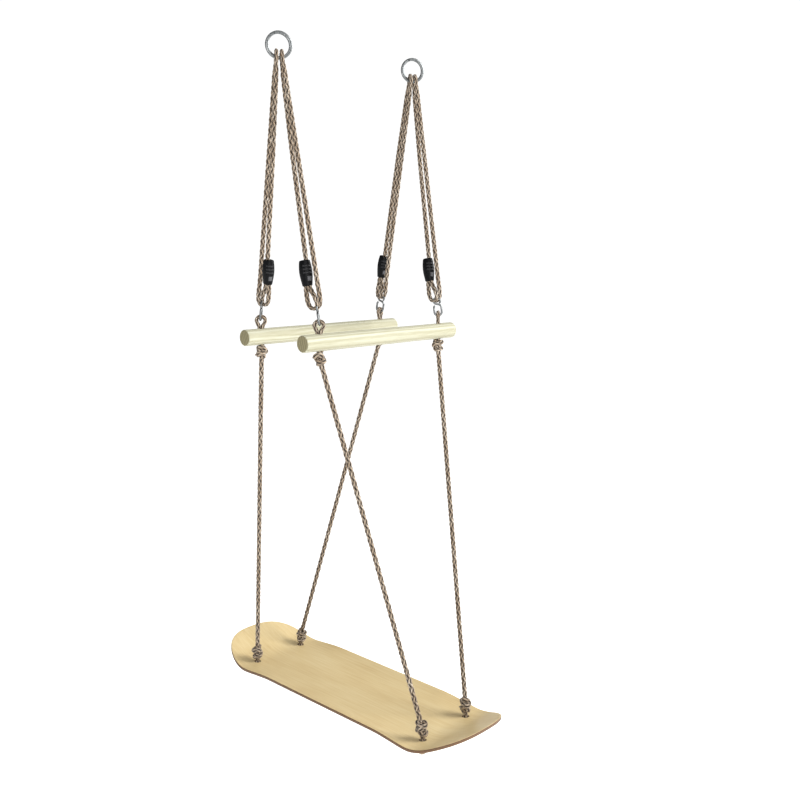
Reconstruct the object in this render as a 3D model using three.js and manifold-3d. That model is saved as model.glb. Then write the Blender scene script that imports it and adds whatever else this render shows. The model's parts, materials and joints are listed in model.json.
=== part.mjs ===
// A stand-up board swing: a kicked wooden deck hung on four ropes, two handle bars, and four adjustable
// rope slings that hang from two steel rings. Millimetres, +Z up. The origin is the centre of the deck's
// flat top face, +X runs along the deck towards the front bar, and +Y runs along the bars to the right.
import * as THREE from "three";
import { mergeVertices } from "three/addons/utils/BufferGeometryUtils.js";
import Module from "manifold-3d";

const wasm = await Module();
wasm.setup();

const GAP = 0.35; // free space left where one piece is cut round another

const ROPE = { radius: 5, sides: 8 };
const RING = { x: 0, y: 193, z: 1412, barRadius: 3.5, centreRadius: 24, yaw: 64, sides: 8, segments: 20 };
const BIGHT = { radius: 13.4, sideways: 5.5, steps: 8 };
const BAR = { x: 93, z: 831, radius: 17.5, halfLength: 225, edge: 2, holeY: 180, holeRadius: 6.2 };
const DECK = {
  halfLength: 390,
  halfWidth: 119,
  thickness: 8,
  endLength: 147,
  roundness: 2.7,
  kickStart: 266,
  kickBend: 60,
  kickSlope: 0.45,
  flatHalfWidth: 45,
  edgeRise: 8,
  riseFadeStart: 170,
  riseFadeEnd: 290,
  holeX: 278,
  holeY: 70,
  holeRadius: 7.2,
};
const HOOK = { rod: 2.2, ovalRadius: 8.4, ovalStraight: 9, eyeRadius: 7.5, sides: 6 };
const HOOK_CENTRE_Z = BAR.z + BAR.radius + 26; // the pivot, where a rope eye hangs in its hook
const EYE_RADIUS = 9.7;
const BAR_KNOT = { radius: 16.5, halfHeight: 16 };
const TOP_KNOT = { radius: 15, halfHeight: 20 };
const UNDER_KNOT = { radius: 15, halfHeight: 14 };
const KNOT_CLEARANCE = 1;
const ADJUSTER = {
  bottom: 72,
  halfHeight: 26,
  halfWidths: [10.7, 12.2, 13.7, 14, 13.2, 11.3],
  depthRatio: 0.8,
  channelOffset: 4.2,
  channelRadius: 5.6,
  socketDepth: 18,
  grooveWidth: 2.4,
  groovePitch: 6,
  grooveDepth: 1.1,
  segments: 16,
};
const STRAND_OFFSET = 10; // of each of the two long strands from the sling's middle line

// Each corner's sling: the side of the swing, the bearing in degrees from the adjuster's strand to the
// fixed strand, and the bearing of the S-hook's plane.
const CORNERS = {
  front_left: { front: 1, right: -1, spread: 16, hookPlane: -46 },
  rear_left: { front: -1, right: -1, spread: 183, hookPlane: -46 },
  front_right: { front: 1, right: 1, spread: 4, hookPlane: 43 },
  rear_right: { front: -1, right: 1, spread: -13, hookPlane: 20 },
};

const finish = {
  steel: new THREE.MeshStandardMaterial({ color: 0xb9bdbe, roughness: 0.35, metalness: 1 }),
  rope: new THREE.MeshStandardMaterial({ color: 0xa88c6c, roughness: 0.9, metalness: 0 }),
  plastic: new THREE.MeshStandardMaterial({ color: 0x1c1e20, roughness: 0.5, metalness: 0 }),
  barWood: new THREE.MeshStandardMaterial({ color: 0xe6ddb4, roughness: 0.6, metalness: 0 }),
  deckWood: new THREE.MeshStandardMaterial({ color: 0xd3b678, roughness: 0.5, metalness: 0 }),
};

const UP = new THREE.Vector3(0, 0, 1);
const vec = (x, y, z) => new THREE.Vector3(x, y, z);
const radians = THREE.MathUtils.degToRad;

// The horizontal unit vector at a bearing in degrees from +X.
const bearing = (degrees) => vec(Math.cos(radians(degrees)), Math.sin(radians(degrees)), 0);

// A curve that passes straight through its stations, so that an extrusion has one section at each.
class StationCurve extends THREE.Curve {
  constructor(stations) {
    super();
    this.stations = stations;
  }
  getPoint(t, target = new THREE.Vector3()) {
    const last = this.stations.length - 1;
    const place = THREE.MathUtils.clamp(t, 0, 1) * last;
    const index = Math.min(Math.floor(place), last - 1);
    return target.lerpVectors(this.stations[index], this.stations[index + 1], place - index);
  }
  getUtoTmapping(u) {
    return u;
  }
}

function polygon(radius, sides) {
  const corner = (_, i) => {
    const angle = ((i + 0.5) / sides) * 2 * Math.PI;
    return new THREE.Vector2(radius * Math.cos(angle), radius * Math.sin(angle));
  };
  return new THREE.Shape(Array.from({ length: sides }, corner));
}

function tube(stations, radius, sides) {
  return new THREE.ExtrudeGeometry(polygon(radius, sides), {
    steps: stations.length - 1,
    extrudePath: new StationCurve(stations),
  });
}

const ropeTube = (stations) => tube(stations, ROPE.radius, ROPE.sides);

// A closed geometry as a manifold-3d solid.
function solid(geometry) {
  const bare = geometry.clone().deleteAttribute("normal").deleteAttribute("uv");
  const merged = mergeVertices(bare, 1e-4);
  return new wasm.Manifold(
    new wasm.Mesh({
      numProp: 3,
      vertProperties: merged.attributes.position.array,
      triVerts: new Uint32Array(merged.index.array),
    }),
  );
}

const join = (geometries) => geometries.map(solid).reduce((sum, next) => sum.add(next));

function geometryOf(body) {
  const { vertProperties, triVerts } = body.getMesh();
  return new THREE.BufferGeometry()
    .setAttribute("position", new THREE.BufferAttribute(vertProperties, 3))
    .setIndex(new THREE.BufferAttribute(triVerts, 1));
}

function piece(name, geometry, material) {
  geometry.computeVertexNormals();
  const mesh = new THREE.Mesh(geometry, material);
  mesh.name = name;
  return mesh;
}

function verticalCylinder(radius, low, high, x, y, sides) {
  return new THREE.CylinderGeometry(radius, radius, high - low, sides)
    .rotateX(Math.PI / 2)
    .translate(x, y, (low + high) / 2);
}

function ellipsoid(centre, { radius, halfHeight }) {
  return new THREE.SphereGeometry(1, 8, 6)
    .rotateX(Math.PI / 2)
    .scale(radius, radius, halfHeight)
    .translate(centre.x, centre.y, centre.z);
}

// Stations along a circular arc about centre, from one angle to another, in the plane of across and up.
function arc(centre, across, up, radius, from, to, steps) {
  const station = (_, i) => {
    const angle = radians(THREE.MathUtils.lerp(from, to, i / steps));
    return centre
      .clone()
      .addScaledVector(across, radius * Math.cos(angle))
      .addScaledVector(up, radius * Math.sin(angle));
  };
  return Array.from({ length: steps + 1 }, station);
}

// ---- rings -------------------------------------------------------------------------------------

// A steel ring in an upright plane, with a flat facet at the top of its bore.
function ring() {
  const section = Array.from({ length: RING.sides + 1 }, (_, i) => {
    const angle = ((i + 0.5) / RING.sides) * 2 * Math.PI;
    const out = RING.centreRadius + RING.barRadius * Math.cos(angle);
    return new THREE.Vector2(out, RING.barRadius * Math.sin(angle));
  });
  return new THREE.LatheGeometry(section, RING.segments, Math.PI / RING.segments, 2 * Math.PI);
}

function placedRing(name, side) {
  const mesh = piece(name, ring(), finish.steel);
  mesh.position.set(RING.x, side * RING.y, RING.z);
  mesh.rotation.z = radians(RING.yaw);
  return mesh;
}

// ---- slings ------------------------------------------------------------------------------------

// The directions and key points of one corner's sling.
function slingFrame({ front, right, spread, hookPlane }) {
  const hook = vec(front * BAR.x, right * BAR.holeY, HOOK_CENTRE_Z);
  const ringBottom = vec(RING.x, right * RING.y, RING.z - RING.centreRadius);
  const up = ringBottom.clone().sub(hook).normalize();
  const square = (direction) => direction.addScaledVector(up, -direction.dot(up)).normalize();
  const across = square(bearing(spread));
  const hookAcross = square(bearing(hookPlane));
  const at = (side, height) =>
    hook.clone().addScaledVector(across, side).addScaledVector(up, height);
  return { front, hook, ringBottom, up, across, hookAcross, at };
}

// The half loop of rope over the bottom of a ring, from the adjuster's strand to the fixed strand.
function bight({ front, ringBottom, across }) {
  const along = bearing(RING.yaw);
  const normal = bearing(RING.yaw - 90);
  if (normal.dot(across) < 0) normal.negate();
  const { sideways, radius, steps } = BIGHT;
  const rise = RING.centreRadius - Math.sqrt(RING.centreRadius ** 2 - sideways ** 2);
  const centre = ringBottom.clone().addScaledVector(along, front * sideways).addScaledVector(UP, rise);
  return arc(centre, normal, UP, radius, 180, 0, steps);
}

// One closed S of bent rod: a round eye above an oval.
function hookStations({ hook, up, hookAcross }, overrun) {
  const { ovalRadius, ovalStraight, eyeRadius } = HOOK;
  const centreAt = (height) => hook.clone().addScaledVector(up, height);
  const eyeCentre = centreAt(ovalStraight + ovalRadius + eyeRadius);
  const ovalTop = centreAt(ovalStraight);
  const eye = arc(eyeCentre, hookAcross, up, eyeRadius, -35 - overrun, 235, 10);
  const shoulder = arc(ovalTop, hookAcross, up, ovalRadius, 60, 0, 2);
  const bowl = arc(hook, hookAcross, up, ovalRadius, 0, -180, 8);
  const tail = arc(ovalTop, hookAcross, up, ovalRadius, 180, 150 - overrun, 1);
  return [...eye, ...shoulder, ...bowl, ...tail];
}

const hookTube = (frame, grow) =>
  tube(hookStations(frame, grow ? 8 : 0), HOOK.rod + grow, HOOK.sides);

// One rope from its end in the adjuster, round the hook, up through the adjuster, over the ring and
// back down to the hook.
function hangingRope(frame) {
  const { at } = frame;
  const loop = bight(frame);
  const adjusterFoot = at(-STRAND_OFFSET, ADJUSTER.bottom);
  const socket = -STRAND_OFFSET - 2 * ADJUSTER.channelOffset;
  const turn = [
    at(socket, ADJUSTER.bottom + ADJUSTER.socketDepth - 2),
    at(socket, ADJUSTER.bottom + 2),
    at(-19.6, 56),
    at(-19, 42),
    at(-15, 30),
    at(-8, 24.5),
    at(-1, 26.5),
    at(1, 34),
    at(-2, 45),
    at(-6.5, 58),
    adjusterFoot,
  ];
  const middle = Math.floor(loop.length / 2);
  const fixedFoot = at(STRAND_OFFSET, ADJUSTER.bottom);
  const fixed = [fixedFoot, at(9, 56), at(6.5, 42), at(3, 32), at(-1, 26)];
  return solid(ropeTube([...turn, ...loop.slice(0, middle + 1)]))
    .add(solid(ropeTube([...loop.slice(middle - 1), ...fixed])))
    .subtract(solid(hookTube(frame, GAP)));
}

// A ribbed plastic barrel with a through channel for the rope and a blind socket for the rope's end.
// It is made about its own axis, its ribbed side towards +X, and its channel on that side.
function adjusterShape() {
  const { halfHeight, halfWidths, depthRatio, channelOffset, channelRadius, segments } = ADJUSTER;
  const rows = halfWidths.length - 1;
  const side = halfWidths.map((w, i) => new THREE.Vector2(w, halfHeight * ((2 * i) / rows - 1)));
  const profile = [new THREE.Vector2(0, -halfHeight), ...side, new THREE.Vector2(0, halfHeight)];
  const barrel = new THREE.LatheGeometry(profile, segments)
    .rotateX(Math.PI / 2)
    .scale(1, depthRatio, 1);
  const channel = verticalCylinder(channelRadius, -2 * halfHeight, 2 * halfHeight, channelOffset, 0, 12);
  const socketTop = ADJUSTER.socketDepth - halfHeight;
  const socket = verticalCylinder(channelRadius, -2 * halfHeight, socketTop, -channelOffset, 0, 12);
  let body = solid(barrel).subtract(solid(channel)).subtract(solid(socket));
  const widest = Math.max(...halfWidths);
  for (const row of [0, 1, 2]) {
    const groove = new THREE.BoxGeometry(2 * ADJUSTER.grooveDepth, widest, ADJUSTER.grooveWidth);
    groove.translate(widest, 0, 12 - row * ADJUSTER.groovePitch);
    body = body.subtract(solid(groove));
  }
  return geometryOf(body);
}

// The adjuster stands along the rope's straight strand, its ribbed side towards the fixed strand.
function placedAdjuster(name, frame) {
  const mesh = piece(name, adjusterShape(), finish.plastic);
  const foot = frame.at(-STRAND_OFFSET, ADJUSTER.bottom);
  const axis = bight(frame)[0].sub(foot).normalize();
  const outward = frame.across.clone().addScaledVector(axis, -frame.across.dot(axis)).normalize();
  const sideways = axis.clone().cross(outward);
  mesh.quaternion.setFromRotationMatrix(new THREE.Matrix4().makeBasis(outward, sideways, axis));
  mesh.position
    .copy(foot)
    .addScaledVector(axis, ADJUSTER.halfHeight)
    .addScaledVector(outward, -ADJUSTER.channelOffset);
  return mesh;
}

// ---- handle bars -------------------------------------------------------------------------------

function handleBar(name, front) {
  const { radius, halfLength, edge } = BAR;
  const half = [
    new THREE.Vector2(radius, halfLength - edge),
    new THREE.Vector2(radius - edge, halfLength),
    new THREE.Vector2(0, halfLength),
  ];
  const mirrored = half.map((p) => new THREE.Vector2(p.x, -p.y)).reverse();
  let body = solid(new THREE.LatheGeometry([...mirrored, ...half], 24));
  for (const side of [-1, 1]) {
    const hole = verticalCylinder(BAR.holeRadius, -2 * radius, 2 * radius, 0, side * BAR.holeY, 12);
    body = body.subtract(solid(hole));
  }
  const mesh = piece(name, geometryOf(body), finish.barWood);
  mesh.position.set(front * BAR.x, 0, BAR.z);
  return mesh;
}

// ---- board ropes -------------------------------------------------------------------------------

// One rope from its eye in the hook, down through the bar and on to its knots at the deck.
function boardRope({ front, right, hookPlane }) {
  const hook = vec(front * BAR.x, right * BAR.holeY, HOOK_CENTRE_Z);
  const across = bearing(hookPlane + 90);
  const below = (side, drop) => hook.clone().addScaledVector(across, side).addScaledVector(UP, -drop);
  const crown = arc(below(0, EYE_RADIUS), across, UP, EYE_RADIUS, -15, 195, 8);
  const eye = [below(0.5, 24), below(5, 19), ...crown, below(-5, 19), below(-0.5, 24)];
  const barBottom = BAR.z - BAR.radius;
  const barKnot = vec(hook.x, hook.y, barBottom - BAR_KNOT.halfHeight);
  const deckKnot = vec(front * DECK.holeX, right * DECK.holeY, TOP_KNOT.halfHeight + KNOT_CLEARANCE);
  const underZ = -DECK.thickness - UNDER_KNOT.halfHeight - KNOT_CLEARANCE;
  const underKnot = deckKnot.clone().setZ(underZ);
  return join([
    ropeTube(eye),
    ropeTube([below(0, 20), barKnot]),
    ellipsoid(barKnot, BAR_KNOT),
    ropeTube([barKnot, deckKnot]),
    ellipsoid(deckKnot, TOP_KNOT),
    ropeTube([deckKnot, underKnot]),
    ellipsoid(underKnot, UNDER_KNOT),
  ]);
}

// ---- deck --------------------------------------------------------------------------------------

// The height of the deck's top face: turned up at the ends, with raised sides between them.
function deckHeight(x, y) {
  const past = Math.max(Math.abs(x) - DECK.kickStart, 0);
  const bent = Math.min(past, DECK.kickBend);
  const kick = DECK.kickSlope * (bent ** 2 / (2 * DECK.kickBend) + (past - bent));
  const sideways = Math.max(Math.abs(y) - DECK.flatHalfWidth, 0) / (DECK.halfWidth - DECK.flatHalfWidth);
  const fade = 1 - THREE.MathUtils.smoothstep(Math.abs(x), DECK.riseFadeStart, DECK.riseFadeEnd);
  return kick + DECK.edgeRise * sideways ** 2 * fade;
}

// A grid bent into the deck's outline and height. The ends are superellipses.
function deckPanel() {
  const panel = new THREE.BoxGeometry(2, 2, 1, 22, 12, 1);
  const place = panel.attributes.position;
  const { halfLength, halfWidth, endLength, roundness, thickness } = DECK;
  for (let i = 0; i < place.count; i += 1) {
    const row = place.getY(i);
    const share = Math.sign(row) * Math.abs(Math.sin((row * Math.PI) / 2)) ** (2 / roundness);
    const bulge = (1 - Math.abs(share) ** roundness) ** (1 / roundness);
    const x = place.getX(i) * (halfLength - endLength + endLength * bulge);
    const y = share * halfWidth;
    place.setXYZ(i, x, y, deckHeight(x, y) + (place.getZ(i) - 0.5) * thickness);
  }
  return panel;
}

function deck() {
  let body = solid(deckPanel());
  for (const front of [-1, 1]) {
    for (const right of [-1, 1]) {
      const x = front * DECK.holeX;
      const y = right * DECK.holeY;
      body = body.subtract(solid(verticalCylinder(DECK.holeRadius, -40, 40, x, y, 12)));
    }
  }
  return geometryOf(body);
}

// ---- the swing ---------------------------------------------------------------------------------

const swing = new THREE.Group();
swing.add(placedRing("ring_left", -1), placedRing("ring_right", 1));
for (const [corner, layout] of Object.entries(CORNERS)) {
  const frame = slingFrame(layout);
  swing.add(
    piece(`hanging_rope_${corner}`, geometryOf(hangingRope(frame)), finish.rope),
    placedAdjuster(`adjuster_${corner}`, frame),
    piece(`s_hook_${corner}`, hookTube(frame, 0), finish.steel),
    piece(`board_rope_${corner}`, geometryOf(boardRope(layout)), finish.rope),
  );
}
swing.add(handleBar("handle_bar_front", 1), handleBar("handle_bar_rear", -1));
swing.add(piece("deck", deck(), finish.deckWood));

export default swing;
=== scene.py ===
"""A stand-up board swing: a kicked wooden deck on four knotted ropes, two handle bars, and four adjustable
rope slings hung from two split steel rings. The shapes are worked out in millimetres, and make_piece()
turns them into metres. +X is the swing's front, +Y its right, +Z up, and z 0 is the top of the deck."""

import json
import math

import bpy
import numpy as np
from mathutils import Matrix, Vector


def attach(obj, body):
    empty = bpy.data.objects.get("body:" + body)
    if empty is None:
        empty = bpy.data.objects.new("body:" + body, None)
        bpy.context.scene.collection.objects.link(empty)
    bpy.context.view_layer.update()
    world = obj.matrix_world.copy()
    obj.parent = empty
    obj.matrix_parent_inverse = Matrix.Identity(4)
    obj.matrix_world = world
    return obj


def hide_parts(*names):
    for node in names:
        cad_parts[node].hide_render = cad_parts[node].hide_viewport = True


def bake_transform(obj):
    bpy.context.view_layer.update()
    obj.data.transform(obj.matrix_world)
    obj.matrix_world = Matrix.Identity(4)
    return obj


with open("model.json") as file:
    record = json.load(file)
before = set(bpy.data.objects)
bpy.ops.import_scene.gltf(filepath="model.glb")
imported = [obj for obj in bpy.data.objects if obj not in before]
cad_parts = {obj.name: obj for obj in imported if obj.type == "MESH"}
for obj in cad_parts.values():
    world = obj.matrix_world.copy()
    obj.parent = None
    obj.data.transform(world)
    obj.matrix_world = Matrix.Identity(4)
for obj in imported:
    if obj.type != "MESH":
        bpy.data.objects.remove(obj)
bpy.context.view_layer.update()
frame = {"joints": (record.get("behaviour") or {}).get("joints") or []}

MM = 0.001
UP = np.array([0.0, 0.0, 1.0])

# The layout of the swing.
RING_Y, RING_Z, RING_RADIUS, RING_YAW = 193, 1412, 24, 64
BAR_X, BAR_Z, BAR_RADIUS, BAR_HALF_LENGTH, BAR_HOLE_Y = 93, 831, 17.5, 225, 180
HOOK_Z = BAR_Z + BAR_RADIUS + 26
DECK_HOLE_X, DECK_HOLE_Y = 278, 70
CORNERS = {
    "front_left": {"front": 1, "right": -1, "spread": 16, "hook_plane": -46},
    "rear_left": {"front": -1, "right": -1, "spread": 183, "hook_plane": -46},
    "front_right": {"front": 1, "right": 1, "spread": 4, "hook_plane": 43},
    "rear_right": {"front": -1, "right": 1, "spread": -13, "hook_plane": 20},
}

# The braided rope: strands wound both ways, passing over and under one another, round a core.
ROPE_STEP = 2.0
BRAID_PAIRS = 4
BRAID_PITCH = 82.0
BRAID_RADIUS = 3.1
BRAID_WAVE = 0.8
STRAND_THICK = 1.2
STRAND_WIDE = 1.85
STRAND_SIDES = 6
CORE_RADIUS = 2.7
CORE_SIDES = 8

# The rope's size along the swing. A pinch is the distance from a place within which the rope is squeezed,
# the distance by which it has its own size again, and its size where it is squeezed.
BOARD_ROPE_GIRTH, SLING_GIRTH, CHANNEL_GIRTH, CHANNEL_EASE = 1.15, 1.08, 0.9, 6
EYE_PINCH = (20, 34, 0.77)
HOOK_PINCH = (6, 22, 0.74)
BIGHT_PINCH = (18, 34, 0.74)
DECK_HOLE_PINCH = (7, 12, 0.9)
TUCKED_END_SIZE, CUT_END_SIZE = 0.62, 0.7

# The ropes' routes. Up to SLIDE_REACH above the hook the adjuster's strand is straight, so that it can
# slide there. The tail is the short piece of rope in the adjuster's socket.
STRAND_OFFSET, FIXED_STRAND_REACH, SLIDE_REACH = 10, 12, 350
BIGHT_RADIUS, BIGHT_SIDEWAYS, BIGHT_TURN = 13.4, 5.5, -9
TAIL_START, TAIL_REACH = 75, 13.0
EYE_RADIUS = 9.7

# The knots: each one's size, and how far it is from the bar or the deck.
KNOT_WAVE, KNOT_DIVES, KNOT_STEPS, KNOT_EASE = 3.8, 1.5, 40, 9
BAR_KNOT = {"width": 10.2, "half_height": 11.0, "turns": 2.6, "taper": 0.1}
DECK_KNOT = {"width": 11.2, "half_height": 15.0, "turns": 3.2, "taper": 0.3}
UNDER_KNOT = {"width": 10.4, "half_height": 5.5, "turns": 1.7, "taper": 0.0}
BAR_KNOT_GAP, DECK_KNOT_GAP, UNDER_KNOT_GAP, KNOT_LEAD = 3.5, 6.5, 7.5, 6

# The split rings and the hooks.
COIL_HALF_WIDTH, COIL_HALF_DEPTH, COIL_PITCH, COIL_SQUARENESS = 3.2, 1.5, 3.3, 0.85
COIL_START, COIL_SWEEP, COIL_STEPS, COIL_SIDES = 118, 712, 260, 20
HOOK_ROD, HOOK_OVAL, HOOK_STRAIGHT, HOOK_EYE, HOOK_SIDES = 2.25, 8.4, 9, 7.5, 18
TIP_STEPS, TIP_ANGLE = 5, 0.12

# The adjusters: the half width goes through ADJUSTER_WIDTHS from the foot to the top.
ADJUSTER_FOOT, ADJUSTER_HALF_HEIGHT, ADJUSTER_EDGE = 72, 26, 2
ADJUSTER_WIDTHS = [10.7, 12.2, 13.7, 14, 13.2, 11.3]
ADJUSTER_DEPTH_RATIO, ADJUSTER_ROWS, ADJUSTER_SIDES = 0.8, 131, 120
CHANNEL_OFFSET, CHANNEL_RADIUS, SOCKET_DEPTH = 4.2, 5.6, 18
RIB_BEARING = -14
GROOVE_HEIGHTS, GROOVE_HALF_WIDTH, GROOVE_HALF_ANGLE = (14, 7, 0), 2.2, 58
# The second number is how strong the painted highlight is in the grooves, beside its full strength in the
# recess.
GROOVE_DEPTH, GROOVE_HIGHLIGHT = 2.0, 0.25
WINDOW_HEIGHT, WINDOW_HALF_HEIGHT, WINDOW_HALF_ANGLE, WINDOW_DEPTH = -12, 5, 26, 1.1

# The bars and the deck.
BAR_HOLE_RADIUS, BAR_EDGE, BAR_SIDES, BAR_WOBBLE = 6.2, 2.5, 96, 0.12
DECK_RINGS, OUTLINE_STEPS, OUTLINE_SPACING = 66, 400, 3.0
HOLE_FLARE, DRILL_OVERRUN, DRILL_SIDES = 0.8, 3, 40
DECK_HALF_WIDTH, DECK_STRAIGHT, DECK_END, DECK_ROUNDNESS = 119, 243, 147, 2.7
DECK_THICKNESS, DECK_EDGE, DECK_HOLE_RADIUS = 8, 2.2, 7.2
KICK_START, KICK_BEND, KICK_SLOPE = 266, 60, 0.45
FLAT_HALF_WIDTH, EDGE_RISE, RISE_FADE_START, RISE_FADE_END = 45, 8, 170, 290

CAMERA_PLACE = (1.52597, -1.44948, 1.02460)
CAMERA_YAW, CAMERA_PITCH, CAMERA_LENS = 43.610, -9.237, 42.94
FLOOR_Z, FLOOR_HALF_SIZE = -420, 30000


# ---- curves ------------------------------------------------------------------------------------


def unit(vector):
    return np.asarray(vector, float) / np.linalg.norm(vector)


def bearing(degrees):
    """The horizontal unit vector at a bearing from +X."""
    return np.array([math.cos(math.radians(degrees)), math.sin(math.radians(degrees)), 0.0])


def within(value, limit, fall):
    """1 where value is near 0, going down to 0 over the last fall before it reaches limit."""
    return np.clip((limit - np.abs(value)) / fall, 0, 1)


def squared(direction, up):
    """The part of direction square to up, as a unit vector."""
    return unit(direction - np.dot(direction, up) * up)


def arc(centre, across, up, radius, start, end, steps):
    """Points on a circle about centre, from one angle in degrees to another. Angle 0 is along across."""
    angles = np.radians(np.linspace(start, end, steps + 1))[:, None]
    return centre + radius * (np.cos(angles) * across + np.sin(angles) * up)


def resample(points, step):
    """Evenly spaced points along a polyline."""
    points = np.asarray(points, float)
    along = np.concatenate([[0], np.cumsum(np.linalg.norm(np.diff(points, axis=0), axis=1))])
    places = np.linspace(0, along[-1], max(int(round(along[-1] / step)), 2) + 1)
    return np.stack([np.interp(places, along, points[:, axis]) for axis in range(3)], axis=1)


def smooth_path(stations, step=ROPE_STEP, passes=6):
    """Evenly spaced points along the stations, with the corners eased."""
    points = resample(stations, step)
    for _ in range(passes):
        points[1:-1] = (points[:-2] + 2 * points[1:-1] + points[2:]) / 4
    return points


def carried_sides(points):
    """Two directions square to the path at each point, carried along it without twisting."""
    tangents = np.gradient(points, axis=0)
    tangents /= np.linalg.norm(tangents, axis=1)[:, None]
    side = np.array([0.31, 0.89, 0.33])
    sides = np.empty_like(points)
    for i, tangent in enumerate(tangents):
        side = squared(side, tangent)
        sides[i] = side
    return sides, np.cross(tangents, sides)


# ---- meshes ------------------------------------------------------------------------------------


def tube_faces(rows, sides, first=0):
    """The faces of a closed tube of rows by sides vertices, with an end cap at each end."""
    around = np.arange(sides)
    after = (around + 1) % sides
    starts = first + np.arange(rows - 1)[:, None] * sides
    row = [starts + around, starts + after]
    next_row = [starts + sides + after, starts + sides + around]
    quads = np.stack(row + next_row, axis=2)
    last = first + (rows - 1) * sides
    return quads.reshape(-1, 4).tolist() + [list(first + around[::-1]), list(last + around)]


def sweep(points, radius, sides):
    """A round tube along the points. radius is one number, or one for each point."""
    side, other = carried_sides(points)
    angles = np.linspace(0, 2 * math.pi, sides, endpoint=False)
    cosines, sines = np.cos(angles)[None, :, None], np.sin(angles)[None, :, None]
    ring = cosines * side[:, None] + sines * other[:, None]
    radii = np.broadcast_to(radius, len(points))[:, None, None]
    vertices = (points[:, None] + ring * radii).reshape(-1, 3)
    return vertices, tube_faces(len(points), sides)


def rounded_ends(points, radius):
    """The points with a half-round end added at both ends, and the radius at each point."""
    angles = np.linspace(TIP_ANGLE, math.pi / 2, TIP_STEPS)
    out_first = unit(points[0] - points[1])
    out_last = unit(points[-1] - points[-2])
    first = points[0] + out_first * (radius * np.cos(angles))[:, None]
    last = points[-1] + out_last * (radius * np.cos(angles[::-1]))[:, None]
    radii = np.full(len(points) - 2, float(radius))
    tips = radius * np.sin(angles)
    return np.vstack([first, points[1:-1], last]), np.concatenate([tips, radii, tips[::-1]])


def make_piece(name, vertices, faces, finish):
    """A smooth-shaded mesh object. vertices are in millimetres."""
    mesh = bpy.data.meshes.new(name)
    mesh.from_pydata((np.asarray(vertices) * MM).tolist(), [], faces)
    mesh.polygons.foreach_set("use_smooth", [True] * len(mesh.polygons))
    mesh.materials.append(finish)
    mesh.update()
    obj = bpy.data.objects.new(name, mesh)
    bpy.context.scene.collection.objects.link(obj)
    return obj


def add_values(obj, name, values):
    """A number, or a vector of three, for each vertex, which the material reads by name."""
    values = np.asarray(values, np.float32)
    kind, field = ("FLOAT_VECTOR", "vector") if values.ndim == 2 else ("FLOAT", "value")
    obj.data.attributes.new(name, kind, "POINT").data.foreach_set(field, values.ravel())


def vertex_places(obj):
    places = np.zeros(len(obj.data.vertices) * 3)
    obj.data.vertices.foreach_get("co", places)
    return places.reshape(-1, 3) / MM


def drill(obj, holes):
    """Cuts holes from obj. Each is (centre, direction, radius, half length, flare at both mouths)."""
    for centre, direction, radius, half, flare in holes:
        beyond = half + DRILL_OVERRUN
        along = np.array([-beyond, -half, -half + flare, half - flare, half, beyond])
        line = np.asarray(centre, float) + along[:, None] * unit(direction)
        radii = np.array([radius + flare, radius + flare, radius, radius, radius + flare, radius + flare])
        cutter = make_piece("cutter", *sweep(line, radii, DRILL_SIDES), obj.data.materials[0])
        cut = obj.modifiers.new("hole", "BOOLEAN")
        cut.operation = "DIFFERENCE"
        cut.solver = "EXACT"
        cut.object = cutter
        bpy.context.view_layer.update()
        graph = bpy.context.evaluated_depsgraph_get()
        drilled = bpy.data.meshes.new_from_object(obj.evaluated_get(graph))
        obj.modifiers.clear()
        obj.data = drilled
        bpy.data.objects.remove(cutter)


def sharpen(obj, degrees):
    """Keeps the edges that turn by more than this sharp, and shades the rest smooth."""
    obj.data.set_sharp_from_angle(angle=math.radians(degrees))


# ---- materials ---------------------------------------------------------------------------------


class Finish:
    """A node material. add() makes a node and returns one of its outputs."""

    def __init__(self, name):
        self.material = bpy.data.materials.new(name)
        self.material.use_nodes = True
        self.tree = self.material.node_tree
        self.surface = self.tree.nodes["Principled BSDF"]

    def put(self, socket, value):
        if isinstance(value, bpy.types.NodeSocket):
            self.tree.links.new(value, socket)
        else:
            socket.default_value = value

    def add(self, kind, output, inputs, **settings):
        node = self.tree.nodes.new("ShaderNode" + kind)
        for key, value in settings.items():
            setattr(node, key, value)
        for key, value in inputs.items():
            self.put(node.inputs[key], value)
        return node.outputs[output]

    def set(self, **inputs):
        for key, value in inputs.items():
            self.put(self.surface.inputs[key.replace("_", " ")], value)

    def math(self, operation, a, b=0.0):
        return self.add("Math", 0, {0: a, 1: b}, operation=operation)

    def noise(self, place, scale, detail=3.0):
        return self.add("TexNoise", "Fac", {"Vector": place, "Scale": scale, "Detail": detail})

    def stretched(self, place, scale):
        return self.add("Mapping", 0, {"Vector": place, "Scale": scale})

    def ramp(self, value, *stops):
        """A colour that goes through (position, colour) stops."""
        node = self.tree.nodes.new("ShaderNodeValToRGB")
        elements = node.color_ramp.elements
        while len(elements) < len(stops):
            elements.new(0.5)
        for element, (position, colour) in zip(elements, stops):
            element.position = position
            element.color = (*colour, 1)
        self.put(node.inputs[0], value)
        return node.outputs[0]

    def blend(self, share, a, b):
        return self.add("Mix", 2, {"Factor": share, 6: a, 7: b}, data_type="RGBA")

    def bump(self, height, strength, distance):
        inputs = {"Height": height, "Strength": strength, "Distance": distance}
        self.set(Normal=self.add("Bump", 0, inputs))

    def object_place(self):
        return self.add("TexCoord", "Object", {})

    def value(self, name, output="Fac"):
        return self.add("Attribute", output, {}, attribute_name=name)


def linear(red, green, blue):
    """A colour as Blender takes it, from screen colour numbers of 10 to 255."""
    return tuple(((c / 255 + 0.055) / 1.055) ** 2.4 for c in (red, green, blue))


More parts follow.
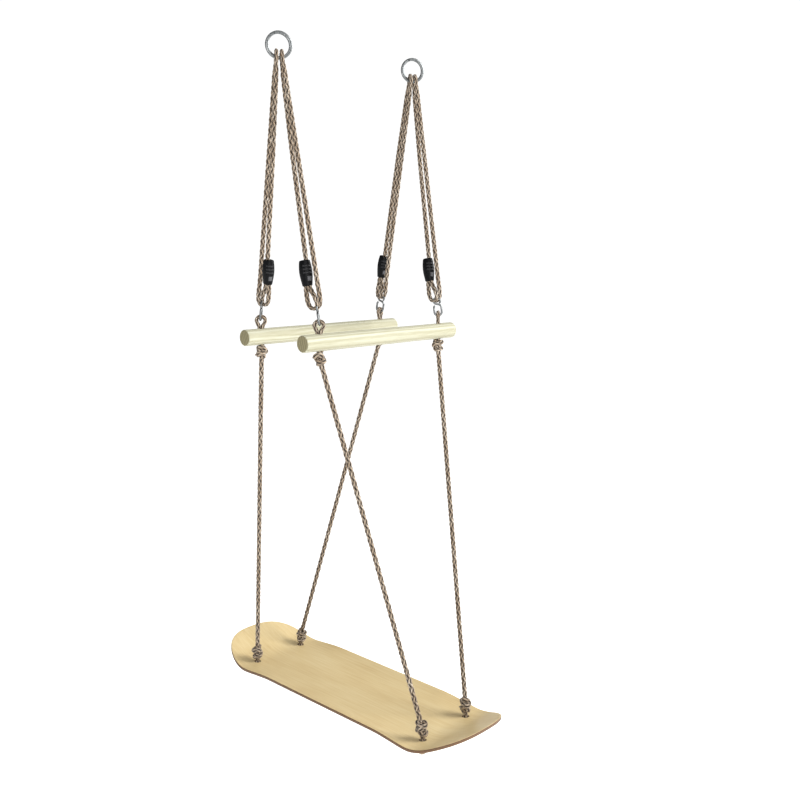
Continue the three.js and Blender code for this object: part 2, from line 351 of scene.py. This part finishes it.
def rope_finish():
    """Tan hemp-like fibre: streaks along each strand, with painted shade between the strands, so that they
    are paler on their crowns.
    """
    f = Finish("braided_rope")
    fibre = f.value("fibre", "Vector")
    streaks = f.noise(f.stretched(fibre, (1.8, 1.8, 0.16)), 1.6, 4.0)
    patches = f.noise(f.object_place(), 38.0, 2.0)
    crevice_shade, tan, pale = linear(44, 33, 24), linear(156, 135, 110), linear(232, 222, 206)
    mixed = f.math("ADD", f.math("MULTIPLY", streaks, 0.75), f.math("MULTIPLY", patches, 0.3))
    body = f.ramp(mixed, (0.3, linear(116, 94, 70)), (0.52, tan), (0.72, pale))
    height = f.value("height")
    # Painted shade: the colour goes to a deep brown as a strand's surface nears the core, where the strands
    # shade one another.
    colour = f.blend(f.ramp(height, (0.7, (1, 1, 1)), (0.98, (0, 0, 0))), body, (*crevice_shade, 1))
    f.set(Base_Color=colour, Roughness=0.62, Specular_IOR_Level=0.35)
    f.set(Sheen_Weight=0.25, Sheen_Roughness=0.5)
    f.bump(streaks, 0.5, 0.0006)
    return f.material


def steel_finish():
    """Galvanised steel: fine mottling, brighter and duller patches."""
    f = Finish("galvanised_steel")
    place = f.object_place()
    mottle = f.noise(place, 420.0, 4.0)
    colour = f.ramp(mottle, (0.35, (0.12, 0.127, 0.13)), (0.7, (0.27, 0.28, 0.28)))
    rough = f.math("ADD", 0.3, f.math("MULTIPLY", f.noise(place, 900.0), 0.15))
    f.set(Base_Color=colour, Metallic=1.0, Roughness=rough)
    f.bump(mottle, 0.06, 0.0003)
    return f.material


def plastic_finish():
    """Black moulded plastic with a fine grain, with a painted highlight in its grooves and its recess."""
    f = Finish("black_plastic")
    place = f.object_place()
    grain = f.noise(place, 1500.0, 2.0)
    scuffs = f.noise(f.stretched(place, (1, 1, 0.3)), 260.0, 4.0)
    colour = f.ramp(scuffs, (0.4, (0.002, 0.0022, 0.0025)), (0.75, (0.006, 0.0065, 0.008)))
    # Painted highlight: a pale grey laid into the grooves and the recess, where light would glint on them.
    colour = f.blend(f.value("painted_highlight"), colour, (0.1, 0.1, 0.105, 1))
    rough = f.math("ADD", 0.3, f.math("MULTIPLY", scuffs, 0.25))
    f.set(Base_Color=colour, Roughness=rough, Specular_IOR_Level=0.12)
    f.bump(grain, 0.25, 0.0003)
    return f.material


def bar_finish():
    """Pale turned wood: growth rings about a pith beside the bar, pores along it, darker end grain."""
    f = Finish("bar_wood")
    place = f.object_place()
    wander = f.noise(f.stretched(place, (14, 2.2, 14)), 1.0, 3.0)
    pith = f.add("VectorMath", 0, {0: place, 1: (0.0, 0.0, -0.86)}, operation="ADD")
    spread = f.add("VectorMath", 0, {0: pith, 1: (1.0, 0.0, 1.0)}, operation="MULTIPLY")
    from_pith = f.add("VectorMath", 1, {0: spread}, operation="LENGTH")
    phase = f.math("ADD", f.math("MULTIPLY", from_pith, 1150.0), f.math("MULTIPLY", wander, 11.0))
    rings = f.math("SINE", phase)
    pores = f.noise(f.stretched(place, (900, 26, 900)), 1.0, 3.0)
    tone = f.math("ADD", f.math("MULTIPLY", rings, 0.16), f.math("MULTIPLY", pores, 0.55))
    dull, cream, pale = linear(160, 156, 130), linear(178, 176, 153), linear(189, 188, 169)
    side = f.ramp(tone, (0.1, dull), (0.32, cream), (0.5, pale))
    end = f.ramp(tone, (0.1, linear(112, 104, 76)), (0.5, linear(150, 143, 110)))
    f.set(Base_Color=f.blend(f.value("end_grain"), side, end), Roughness=0.55, Specular_IOR_Level=0.35)
    f.bump(pores, 0.2, 0.0004)
    return f.material


def deck_finish():
    """Lacquered maple ply: long faint grain and soft patches on the faces, and seven plies at the edge."""
    f = Finish("deck_wood")
    place = f.object_place()
    patches = f.noise(f.stretched(place, (5.5, 13, 13)), 1.0, 3.0)
    grain = f.noise(f.stretched(place, (9, 210, 60)), 1.0, 5.0)
    pores = f.noise(f.stretched(place, (70, 1500, 400)), 1.0, 2.0)
    tone = f.math("ADD", f.math("MULTIPLY", patches, 0.5), f.math("MULTIPLY", grain, 0.5))
    tan, straw, pale = linear(200, 175, 126), linear(211, 189, 141), linear(220, 201, 156)
    face = f.ramp(tone, (0.3, tan), (0.5, straw), (0.72, pale))
    face = f.blend(f.math("MULTIPLY", pores, 0.1), face, (*linear(160, 126, 78), 1))
    depth = f.value("depth")
    plies = f.math("SINE", f.math("MULTIPLY", depth, 7 * math.pi / DECK_THICKNESS))
    ply = f.ramp(plies, (0.2, linear(74, 52, 36)), (0.9, linear(150, 112, 76)))
    f.set(Base_Color=f.blend(f.value("edge"), face, ply), Roughness=0.45, Specular_IOR_Level=0.28)
    f.set(Coat_Weight=0.08, Coat_Roughness=0.3)
    f.bump(f.math("ADD", grain, pores), 0.08, 0.0004)
    return f.material


# ---- ropes -------------------------------------------------------------------------------------


def braid(points, lengths, girth):
    """A braided rope along the points, with the rope's own length and its size at each point. Returns the
    vertices, the faces, and each vertex's place along and round its strand and distance from the middle."""
    side, other = carried_sides(points)
    turn = 2 * math.pi * np.asarray(lengths)[:, None] / BRAID_PITCH
    around = np.linspace(0, 2 * math.pi, STRAND_SIDES, endpoint=False)[None, :]
    girth = np.asarray(girth)[:, None, None]
    vertices, faces, fibre, height = [], [], [], []
    rows = len(points)
    for strand in range(2 * BRAID_PAIRS):
        way = 1 if strand % 2 else -1
        angle = way * turn + 2 * math.pi * (strand // 2) / BRAID_PAIRS
        out = np.cos(angle) * side + np.sin(angle) * other
        round_it = np.cos(angle) * other - np.sin(angle) * side
        middle = BRAID_RADIUS + way * BRAID_WAVE * np.cos(BRAID_PAIRS * turn)
        reach = middle + STRAND_THICK * np.cos(around)
        wide = np.broadcast_to(STRAND_WIDE * np.sin(around), reach.shape)
        offset = reach[:, :, None] * out[:, None] + wide[:, :, None] * round_it[:, None]
        faces += tube_faces(rows, STRAND_SIDES, strand * rows * STRAND_SIDES)
        vertices.append((points[:, None] + girth * offset).reshape(-1, 3))
        along = np.broadcast_to(np.asarray(lengths)[:, None] + 137.0 * strand, reach.shape)
        across = np.broadcast_to(np.cos(around), reach.shape), np.broadcast_to(np.sin(around), reach.shape)
        fibre.append(np.stack([*across, along], axis=2).reshape(-1, 3))
        # This height from the core drives the painted shade between the strands.
        height.append(np.hypot(reach, wide).ravel() / (BRAID_RADIUS + BRAID_WAVE + STRAND_THICK))
    core, core_faces = sweep(points, CORE_RADIUS * girth[:, 0, 0], CORE_SIDES)
    first = sum(len(part) for part in vertices)
    faces += [[index + first for index in face] for face in core_faces]
    vertices.append(core)
    fibre.append(np.zeros_like(core))
    # The core's low height gives it the painted shade all over.
    height.append(np.full(len(core), 0.5))
    return np.vstack(vertices), faces, np.vstack(fibre), np.concatenate(height)


def make_rope(name, points, finish, lengths=None, girth=1.0):
    """A braided rope as a piece. Without lengths, the points are ROPE_STEP apart along it."""
    if lengths is None:
        lengths = ROPE_STEP * np.arange(len(points))
    vertices, faces, fibre, height = braid(points, lengths, np.broadcast_to(girth, len(points)))
    obj = make_piece(name, vertices, faces, finish)
    add_values(obj, "fibre", fibre)
    add_values(obj, "height", height)
    return obj


def squeezed(points, centre, near, far, girth):
    """The rope's size at each point: girth within near of a place where it is pinched, and 1 beyond far."""
    away = np.linalg.norm(points - centre, axis=1)
    return girth + (1 - girth) * np.clip((away - near) / (far - near), 0, 1)


def knot_path(width, half_height, turns, taper, yaw):
    """The middle line of a tight stopper knot about the Z axis, from its top to its foot. The rope winds
    round some turns, climbing over and diving under itself, and the knot narrows by taper to its foot."""
    t = np.linspace(0, 1, int(KNOT_STEPS * turns))
    ease = np.clip(np.minimum(t, 1 - t) * KNOT_EASE, 0, 1)
    angle = 2 * math.pi * turns * t + math.radians(yaw)
    dive = 2 * math.pi * KNOT_DIVES * turns * t
    out = width * (0.8 + 0.2 * np.cos(dive)) * (1 - taper * t) * np.sqrt(ease)
    lift = half_height * (1 - 2 * t) + KNOT_WAVE * np.sin(dive) * ease
    return np.stack([out * np.cos(angle), out * np.sin(angle), lift], axis=1)


def stood(points, centre, axis):
    """The points of a knot moved to centre, with its Z axis along axis."""
    across = squared(np.array([1.0, 0.0, 0.0]), axis)
    return centre + points @ np.stack([across, np.cross(axis, across), axis])


def board_rope_path(front, right, hook_plane):
    """From the rope's tucked end in the bar, round the hook, and down through its three knots."""
    hook = np.array([front * BAR_X, right * BAR_HOLE_Y, HOOK_Z])
    across = bearing(hook_plane + 90)

    def below(side, drop):
        return hook + across * side - UP * drop

    tucked = [below(-2.6, 36), below(-3.2, 27), below(-5.6, 18)]
    crown = arc(below(0, EYE_RADIUS), across, UP, EYE_RADIUS, 195, -15, 14)
    through_bar = [below(5, 18), below(1.6, 25), below(0, 46), below(0, 62)]
    bar_half, deck_half, under_half = (knot["half_height"] for knot in (BAR_KNOT, DECK_KNOT, UNDER_KNOT))
    bar_knot = np.array([hook[0], hook[1], BAR_Z - BAR_RADIUS - bar_half - BAR_KNOT_GAP])
    deck_hole = np.array([front * DECK_HOLE_X, right * DECK_HOLE_Y, 0.0])
    run = unit(deck_hole + UP * 46 - bar_knot)
    lean = unit(run * 0.6 - UP * 0.4)
    deck_knot = deck_hole + UP * DECK_KNOT_GAP - lean * (deck_half + 4)
    under_knot = deck_hole - UP * (DECK_THICKNESS + under_half + UNDER_KNOT_GAP)
    yaw = 70 * front + 40 * right
    return np.vstack([
        tucked,
        crown,
        through_bar,
        stood(knot_path(yaw=yaw, **BAR_KNOT), bar_knot, unit(UP - run * 0.3)),
        bar_knot + run * (bar_half + KNOT_LEAD),
        deck_knot - lean * (deck_half + KNOT_LEAD),
        stood(knot_path(yaw=yaw + 130, **DECK_KNOT), deck_knot, -lean),
        deck_hole + UP * 2,
        deck_hole - UP * (DECK_THICKNESS + 1),
        stood(knot_path(yaw=yaw + 60, **UNDER_KNOT), under_knot, UP),
        under_knot - UP * (under_half + 1),
    ])


def make_board_rope(corner, finish):
    layout = CORNERS[corner]
    points = smooth_path(board_rope_path(layout["front"], layout["right"], layout["hook_plane"]), passes=3)
    count = len(points)
    sizes = [TUCKED_END_SIZE, 1.0, 1.0, CUT_END_SIZE]
    end_size = np.interp(np.arange(count), [0, 8, count - 4, count - 1], sizes)
    hook = (layout["front"] * BAR_X, layout["right"] * BAR_HOLE_Y, HOOK_Z)
    deck_hole = (layout["front"] * DECK_HOLE_X, layout["right"] * DECK_HOLE_Y, -DECK_THICKNESS / 2)
    girth = BOARD_ROPE_GIRTH * end_size
    girth = girth * squeezed(points, hook, *EYE_PINCH) * squeezed(points, deck_hole, *DECK_HOLE_PINCH)
    rope = make_rope(f"rope_to_board_{corner}", points, finish, girth=girth)
    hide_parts(f"board_rope_{corner}")
    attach(rope, "front_side" if layout["front"] > 0 else "rear_side")


class Sling:
    """The directions and key points of one corner's sling."""

    def __init__(self, corner):
        layout = CORNERS[corner]
        self.front = layout["front"]
        self.hook = np.array([self.front * BAR_X, layout["right"] * BAR_HOLE_Y, HOOK_Z])
        self.ring_foot = np.array([0.0, layout["right"] * RING_Y, RING_Z - RING_RADIUS])
        self.up = unit(self.ring_foot - self.hook)
        self.across = squared(bearing(layout["spread"]), self.up)
        self.away = np.cross(self.up, self.across)
        self.hook_across = squared(bearing(layout["hook_plane"]), self.up)

    def at(self, side, height, away=0.0):
        """A place beside the sling's middle line, at a height above the hook's pivot."""
        return self.hook + self.across * side + self.up * height + self.away * away

    def bight(self, turn=0):
        """The half loop over the bottom of the ring, turned by some degrees from square to it."""
        normal = bearing(RING_YAW - 90 + turn)
        if np.dot(normal, self.across) < 0:
            normal = -normal
        rise = RING_RADIUS - math.sqrt(RING_RADIUS**2 - BIGHT_SIDEWAYS**2)
        centre = self.ring_foot + bearing(RING_YAW) * self.front * BIGHT_SIDEWAYS + UP * rise
        return arc(centre, normal, UP, BIGHT_RADIUS, 180, 0, 16)

    def adjuster_axes(self):
        """The middle of the adjuster, its outward and sideways directions, and its axis."""
        foot = self.at(-STRAND_OFFSET, ADJUSTER_FOOT)
        axis = unit(self.bight()[0] - foot)
        outward = squared(self.across, axis)
        place = foot + axis * ADJUSTER_HALF_HEIGHT - outward * CHANNEL_OFFSET
        return place, outward, np.cross(axis, outward), axis


def make_hanging_rope(corner, sling, finish):
    """The rope from the adjuster, round the hook, up through the adjuster, over the ring and back down."""
    at = sling.at
    place, _, _, axis = sling.adjuster_axes()
    socket = -STRAND_OFFSET - 2 * CHANNEL_OFFSET
    drop = [at(socket, 76), at(-18.8, 66), at(-19.6, 56), at(-19, 42, -1)]
    turn = [at(-15.5, 31, -2.5), at(-8, 25, -4), at(-0.5, 25, -4.5), at(4, 31, -4.5)]
    rise = [at(3.5, 40, -4), at(-1, 52, -2.5), at(-7, 62, -1), at(-STRAND_OFFSET, ADJUSTER_FOOT)]
    slide_end = at(-STRAND_OFFSET, ADJUSTER_FOOT) + axis * (SLIDE_REACH - ADJUSTER_FOOT)
    fixed = [at(STRAND_OFFSET, 72), at(9.5, 56, 1.5), at(8, 42, 4)]
    end = [at(6, 32, 5), at(0, 25.5, 4.5), at(-6, 24.5, 4)]
    points = smooth_path(np.vstack([drop, turn, rise, slide_end, sling.bight(BIGHT_TURN), fixed, end]))
    girth = squeezed(points, at(0, 26), *HOOK_PINCH) * squeezed(points, sling.ring_foot, *BIGHT_PINCH)
    at_barrel = within((points - place) @ axis, ADJUSTER_HALF_HEIGHT + CHANNEL_EASE, CHANNEL_EASE)
    from_fixed = points - at(STRAND_OFFSET, 0)
    beside = np.linalg.norm(from_fixed - sling.up * (from_fixed @ sling.up)[:, None], axis=1)
    girth = girth * (1 - (1 - CHANNEL_GIRTH) * at_barrel * (beside > FIXED_STRAND_REACH))
    rope = make_rope(f"rope_hanging_{corner}", points, finish, girth=SLING_GIRTH * girth)
    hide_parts(f"hanging_rope_{corner}")
    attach(rope, "sling")


def make_rope_tail(corner, sling, travel, finish):
    """The rope's end in the adjuster. Its spare length is packed inside, and is drawn out as it slides."""
    start = sling.at(-STRAND_OFFSET - 2 * CHANNEL_OFFSET, TAIL_START)
    axis = sling.adjuster_axes()[3]
    share = np.linspace(0, 1, 400)
    drawn = share * TAIL_REACH + travel * share**2 * (3 - 2 * share)
    lengths = np.linspace(0, TAIL_REACH + travel, int((TAIL_REACH + travel) / ROPE_STEP))
    places = np.interp(lengths, drawn, share) * TAIL_REACH
    points = start + places[:, None] * axis
    tail = make_rope(f"rope_tail_{corner}", points, finish, lengths, BOARD_ROPE_GIRTH * CHANNEL_GIRTH)
    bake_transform(tail)


# ---- steel and plastic -------------------------------------------------------------------------


def make_ring(name, side, finish):
    """A split ring: two turns of flat wire side by side, its ends near the top. The wire crosses from one
    turn to the other in its middle sixth."""
    angles = np.radians(np.linspace(COIL_START, COIL_START + COIL_SWEEP, COIL_STEPS))
    share = np.linspace(-1, 1, len(angles))
    shift = COIL_PITCH / 2 * np.clip(share * 6, -1, 1)
    along, across = bearing(RING_YAW), bearing(RING_YAW - 90)
    centre = np.array([0.0, side * RING_Y, RING_Z])
    out = np.cos(angles)[:, None] * along + np.sin(angles)[:, None] * UP
    around = np.linspace(0, 2 * math.pi, COIL_SIDES, endpoint=False)
    section = np.stack([np.cos(around), np.sin(around)])
    section = np.sign(section) * np.abs(section) ** COIL_SQUARENESS
    reach = RING_RADIUS + COIL_HALF_WIDTH * section[0]
    aside = shift[:, None] + COIL_HALF_DEPTH * section[1]
    vertices = centre + reach[None, :, None] * out[:, None] + aside[:, :, None] * across
    faces = tube_faces(COIL_STEPS, COIL_SIDES)
    ring = make_piece(f"split_{name}", vertices.reshape(-1, 3), faces, finish)
    sharpen(ring, 50)
    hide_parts(name)
    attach(ring, "rings")


def make_hook(corner, sling, finish):
    """An S of bent rod: a round eye above an oval."""
    oval_top = sling.hook + sling.up * HOOK_STRAIGHT
    eye = sling.hook + sling.up * (HOOK_STRAIGHT + HOOK_OVAL + HOOK_EYE)
    across, up = sling.hook_across, sling.up
    stations = np.vstack([
        arc(eye, across, up, HOOK_EYE, -35, 235, 40),
        arc(oval_top, across, up, HOOK_OVAL, 60, 0, 12),
        arc(sling.hook, across, up, HOOK_OVAL, 0, -180, 36),
        arc(oval_top, across, up, HOOK_OVAL, 180, 150, 6),
    ])
    points, radii = rounded_ends(smooth_path(stations, 0.8, 3), HOOK_ROD)
    hook = make_piece(f"bent_hook_{corner}", *sweep(points, radii, HOOK_SIDES), finish)
    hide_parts(f"s_hook_{corner}")
    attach(hook, "sling")


def adjuster_inset(angle, height):
    """How far the barrel's surface is pulled in at an angle from its ribbed side: grooves and a recess."""
    angle = (angle + math.pi) % (2 * math.pi) - math.pi
    facing = within(angle, math.radians(GROOVE_HALF_ANGLE), 0.15)
    inset = np.zeros(np.broadcast(angle, height).shape)
    for level in GROOVE_HEIGHTS:
        inset = np.maximum(inset, GROOVE_DEPTH * within(height - level, GROOVE_HALF_WIDTH, 0.6) * facing)
    window = within(angle, math.radians(WINDOW_HALF_ANGLE), 0.12)
    window = window * within(height - WINDOW_HEIGHT, WINDOW_HALF_HEIGHT, 0.7)
    return np.maximum(inset, WINDOW_DEPTH * window)


def make_adjuster(corner, sling, finish):
    """A moulded barrel with a through channel for the strand and a blind socket for the rope's end."""
    place, outward, sideways, axis = sling.adjuster_axes()
    heights = np.linspace(-ADJUSTER_HALF_HEIGHT, ADJUSTER_HALF_HEIGHT, ADJUSTER_ROWS)
    stations = np.linspace(-ADJUSTER_HALF_HEIGHT, ADJUSTER_HALF_HEIGHT, len(ADJUSTER_WIDTHS))
    fit = np.polynomial.Polynomial.fit(stations, ADJUSTER_WIDTHS, 4)
    into_edge = np.clip((np.abs(heights) - ADJUSTER_HALF_HEIGHT) / ADJUSTER_EDGE + 1, 0, 1)
    widths = fit(heights) - ADJUSTER_EDGE * (1 - np.sqrt(1 - into_edge**2))
    angles = np.linspace(-math.pi, math.pi, ADJUSTER_SIDES, endpoint=False)
    ribs = math.radians(RIB_BEARING - CORNERS[corner]["spread"])
    reach = widths[:, None] - adjuster_inset(angles[None, :] - ribs, heights[:, None])
    ring = np.cos(angles)[None, :, None] * outward
    ring = ring + ADJUSTER_DEPTH_RATIO * np.sin(angles)[None, :, None] * sideways
    vertices = place + heights[:, None, None] * axis + reach[:, :, None] * ring
    faces = tube_faces(ADJUSTER_ROWS, ADJUSTER_SIDES)
    barrel = make_piece(f"barrel_{corner}", vertices.reshape(-1, 3), faces, finish)
    offset = outward * CHANNEL_OFFSET
    socket_middle = place - offset - axis * (ADJUSTER_HALF_HEIGHT - SOCKET_DEPTH / 2 + 0.5)
    drill(barrel, [
        (place + offset, axis, CHANNEL_RADIUS, ADJUSTER_HALF_HEIGHT, 0.5),
        (socket_middle, axis, CHANNEL_RADIUS, SOCKET_DEPTH / 2, 0.05),
    ])
    sharpen(barrel, 38)
    from_middle = vertex_places(barrel) - place
    turn = np.arctan2(from_middle @ sideways / ADJUSTER_DEPTH_RATIO, from_middle @ outward)
    height = from_middle @ axis
    inset = adjuster_inset(turn - ribs, height)
    # The painted highlight is full in the recess and fainter in the grooves.
    highlight_share = np.where(height < WINDOW_HEIGHT + WINDOW_HALF_HEIGHT, 1.0, GROOVE_HIGHLIGHT)
    add_values(barrel, "painted_highlight", highlight_share * np.clip(inset / WINDOW_DEPTH, 0, 1))
    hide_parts(f"adjuster_{corner}")
    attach(barrel, f"adjuster_{corner}")


# ---- wood --------------------------------------------------------------------------------------


def make_bar(name, front, finish):
    """A turned bar with rounded ends, drilled for its two ropes."""
    curve = np.radians(np.linspace(0, 90, 7))
    end_places = BAR_HALF_LENGTH - BAR_EDGE + BAR_EDGE * np.sin(curve)
    end_radii = BAR_RADIUS - BAR_EDGE + BAR_EDGE * np.cos(curve)
    middle = np.linspace(-BAR_HALF_LENGTH + BAR_EDGE, BAR_HALF_LENGTH - BAR_EDGE, 60)[1:-1]
    places = np.concatenate([-end_places[::-1], middle, end_places])
    radii = np.concatenate([end_radii[::-1], np.full(len(middle), BAR_RADIUS), end_radii])
    wobble = BAR_WOBBLE * np.sin(places / 31 + front) * (np.abs(places) < BAR_HALF_LENGTH - 10)
    line = np.stack([np.full_like(places, front * BAR_X), places, np.full_like(places, BAR_Z)], axis=1)
    bar = make_piece(f"turned_{name}", *sweep(line, radii + wobble, BAR_SIDES), finish)
    ends = [(front * BAR_X, side * BAR_HOLE_Y, BAR_Z) for side in (-1, 1)]
    drill(bar, [(centre, UP, BAR_HOLE_RADIUS, BAR_RADIUS, HOLE_FLARE) for centre in ends])
    sharpen(bar, 40)
    at = vertex_places(bar)
    add_values(bar, "end_grain", np.clip((np.abs(at[:, 1]) - (BAR_HALF_LENGTH - 0.6)) / 0.5, 0, 1))
    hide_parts(name)
    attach(bar, "front_side" if front > 0 else "rear_side")


def deck_height(x, y):
    """The height of the deck's top face: turned up at the ends, with raised sides between them."""
    past = np.maximum(np.abs(x) - KICK_START, 0)
    bent = np.minimum(past, KICK_BEND)
    kick = KICK_SLOPE * (bent**2 / (2 * KICK_BEND) + past - bent)
    sideways = np.maximum(np.abs(y) - FLAT_HALF_WIDTH, 0) / (DECK_HALF_WIDTH - FLAT_HALF_WIDTH)
    share = np.clip((np.abs(x) - RISE_FADE_START) / (RISE_FADE_END - RISE_FADE_START), 0, 1)
    return kick + EDGE_RISE * sideways**2 * (1 - share**2 * (3 - 2 * share))


def deck_outline():
    """Evenly spaced points round the deck, and the outward direction at each."""
    turn = np.radians(np.linspace(-90, 90, OUTLINE_STEPS))
    power = 2 / DECK_ROUNDNESS
    x = DECK_STRAIGHT + DECK_END * np.abs(np.cos(turn)) ** power
    y = DECK_HALF_WIDTH * np.sign(turn) * np.abs(np.sin(turn)) ** power
    loop = np.zeros((2 * OUTLINE_STEPS + 1, 3))
    loop[:, 0] = np.concatenate([x, -x, x[:1]])
    loop[:, 1] = np.concatenate([y, -y, y[:1]])
    loop = resample(loop, OUTLINE_SPACING)[:-1]
    along = np.roll(loop, -1, axis=0) - np.roll(loop, 1, axis=0)
    along /= np.linalg.norm(along, axis=1)[:, None]
    return loop[:, :2], np.stack([along[:, 1], -along[:, 0]], axis=1)


def make_deck(finish):
    """A bent ply panel with an eased edge, in rings of points from the middle of its top round to below."""
    outline, outward = deck_outline()
    inner = outline - outward * DECK_EDGE
    shares = np.linspace(0.02, 1, DECK_RINGS)
    curve = np.radians(np.linspace(0, 90, 6))[1:]
    rings = [(inner * share, 0.0) for share in shares]
    rings += [(inner + outward * DECK_EDGE * math.sin(a), DECK_EDGE * (1 - math.cos(a))) for a in curve]
    sides = np.linspace(DECK_EDGE, DECK_THICKNESS - DECK_EDGE, 4)[1:-1]
    rings += [(outline, depth) for depth in sides]
    rings += [(flat, DECK_THICKNESS - depth) for flat, depth in rings[: len(shares) + len(curve)][::-1]]
    vertices = np.vstack([
        np.column_stack([flat, deck_height(flat[:, 0], flat[:, 1]) - depth]) for flat, depth in rings
    ])
    faces = [face[::-1] for face in tube_faces(len(rings), len(outline))]
    deck = make_piece("ply_deck", vertices, faces, finish)
    half = DECK_THICKNESS / 2
    holes = [(front * DECK_HOLE_X, right * DECK_HOLE_Y, -half) for front in (-1, 1) for right in (-1, 1)]
    drill(deck, [(centre, UP, DECK_HOLE_RADIUS, half, HOLE_FLARE) for centre in holes])
    at = vertex_places(deck)
    depth = deck_height(at[:, 0], at[:, 1]) - at[:, 2]
    from_holes = np.min([np.hypot(at[:, 0] - x, at[:, 1] - y) for x, y, _ in holes], axis=0)
    inside = (depth > 0.7) & (depth < DECK_THICKNESS - 0.7)
    near_hole = np.clip((DECK_HOLE_RADIUS + 0.9 - from_holes) / 0.6, 0, 1)
    add_values(deck, "depth", depth)
    add_values(deck, "edge", np.maximum(inside, near_hole))
    sharpen(deck, 45)
    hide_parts("deck")
    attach(deck, "deck")


# ---- the studio --------------------------------------------------------------------------------


def make_floor():
    f = Finish("floor")
    f.set(Base_Color=(0.85, 0.85, 0.85, 1), Roughness=0.9, Specular_IOR_Level=0.1)
    f.set(Emission_Color=(1, 1, 1, 1), Emission_Strength=0.72)
    signs = [(-1, -1), (1, -1), (1, 1), (-1, 1)]
    corners = [(x * FLOOR_HALF_SIZE, y * FLOOR_HALF_SIZE, FLOOR_Z) for x, y in signs]
    make_piece("floor", corners, [(0, 1, 2, 3)], f.material)


def make_light(name, place, target, size, power):
    data = bpy.data.lights.new(name, "AREA")
    data.size = size
    data.energy = power
    lamp = bpy.data.objects.new(name, data)
    lamp.location = place
    lamp.rotation_mode = "QUATERNION"
    lamp.rotation_quaternion = (Vector(target) - Vector(place)).to_track_quat("-Z", "Y")
    bpy.context.scene.collection.objects.link(lamp)


def make_world():
    """White behind the object, and a softer, uneven surround for what the object reflects."""
    world = bpy.data.worlds.new("studio")
    world.use_nodes = True
    tree = world.node_tree
    rays = tree.nodes.new("ShaderNodeLightPath")
    place = tree.nodes.new("ShaderNodeTexCoord")
    wave = tree.nodes.new("ShaderNodeTexGradient")
    turn = tree.nodes.new("ShaderNodeMapping")
    turn.inputs["Rotation"].default_value = (0.0, math.radians(35), math.radians(-50))
    ramp = tree.nodes.new("ShaderNodeValToRGB")
    ramp.color_ramp.elements[0].color = (0.2, 0.2, 0.21, 1)
    ramp.color_ramp.elements[1].color = (0.85, 0.85, 0.83, 1)
    mix = tree.nodes.new("ShaderNodeMix")
    mix.data_type = "RGBA"
    mix.inputs[7].default_value = (1.05, 1.05, 1.05, 1)
    tree.links.new(place.outputs["Generated"], turn.inputs["Vector"])
    tree.links.new(turn.outputs[0], wave.inputs["Vector"])
    tree.links.new(wave.outputs["Color"], ramp.inputs[0])
    tree.links.new(ramp.outputs[0], mix.inputs[6])
    tree.links.new(rays.outputs["Is Camera Ray"], mix.inputs["Factor"])
    tree.links.new(mix.outputs[2], tree.nodes["Background"].inputs["Color"])
    bpy.context.scene.world = world


def make_camera():
    data = bpy.data.cameras.new("camera")
    data.sensor_width = 36
    data.lens = CAMERA_LENS
    camera = bpy.data.objects.new("camera", data)
    camera.location = CAMERA_PLACE
    camera.rotation_euler = (math.radians(90 + CAMERA_PITCH), 0, math.radians(CAMERA_YAW))
    bpy.context.scene.collection.objects.link(camera)
    bpy.context.scene.camera = camera


# ---- the swing ---------------------------------------------------------------------------------

rope, steel, plastic = rope_finish(), steel_finish(), plastic_finish()
joints = {joint["name"]: joint for joint in frame["joints"]}
for side_name, side in (("ring_left", -1), ("ring_right", 1)):
    make_ring(side_name, side, steel)
for corner in CORNERS:
    sling = Sling(corner)
    travel = joints[f"adjuster_slide_{corner}"]["range_m"][1] / MM
    make_hanging_rope(corner, sling, rope)
    make_rope_tail(corner, sling, travel, rope)
    make_adjuster(corner, sling, plastic)
    make_hook(corner, sling, steel)
    make_board_rope(corner, rope)
bar_wood = bar_finish()
make_bar("handle_bar_front", 1, bar_wood)
make_bar("handle_bar_rear", -1, bar_wood)
make_deck(deck_finish())

make_floor()
make_world()
make_light("key", (2.7, 1.9, 2.5), (0.0, 0.1, 0.7), 1.8, 165)
make_light("front", (2.4, -2.6, 1.8), (0.0, 0.0, 0.6), 2.2, 75)
make_camera()
bpy.context.scene.view_settings.view_transform = "Standard"
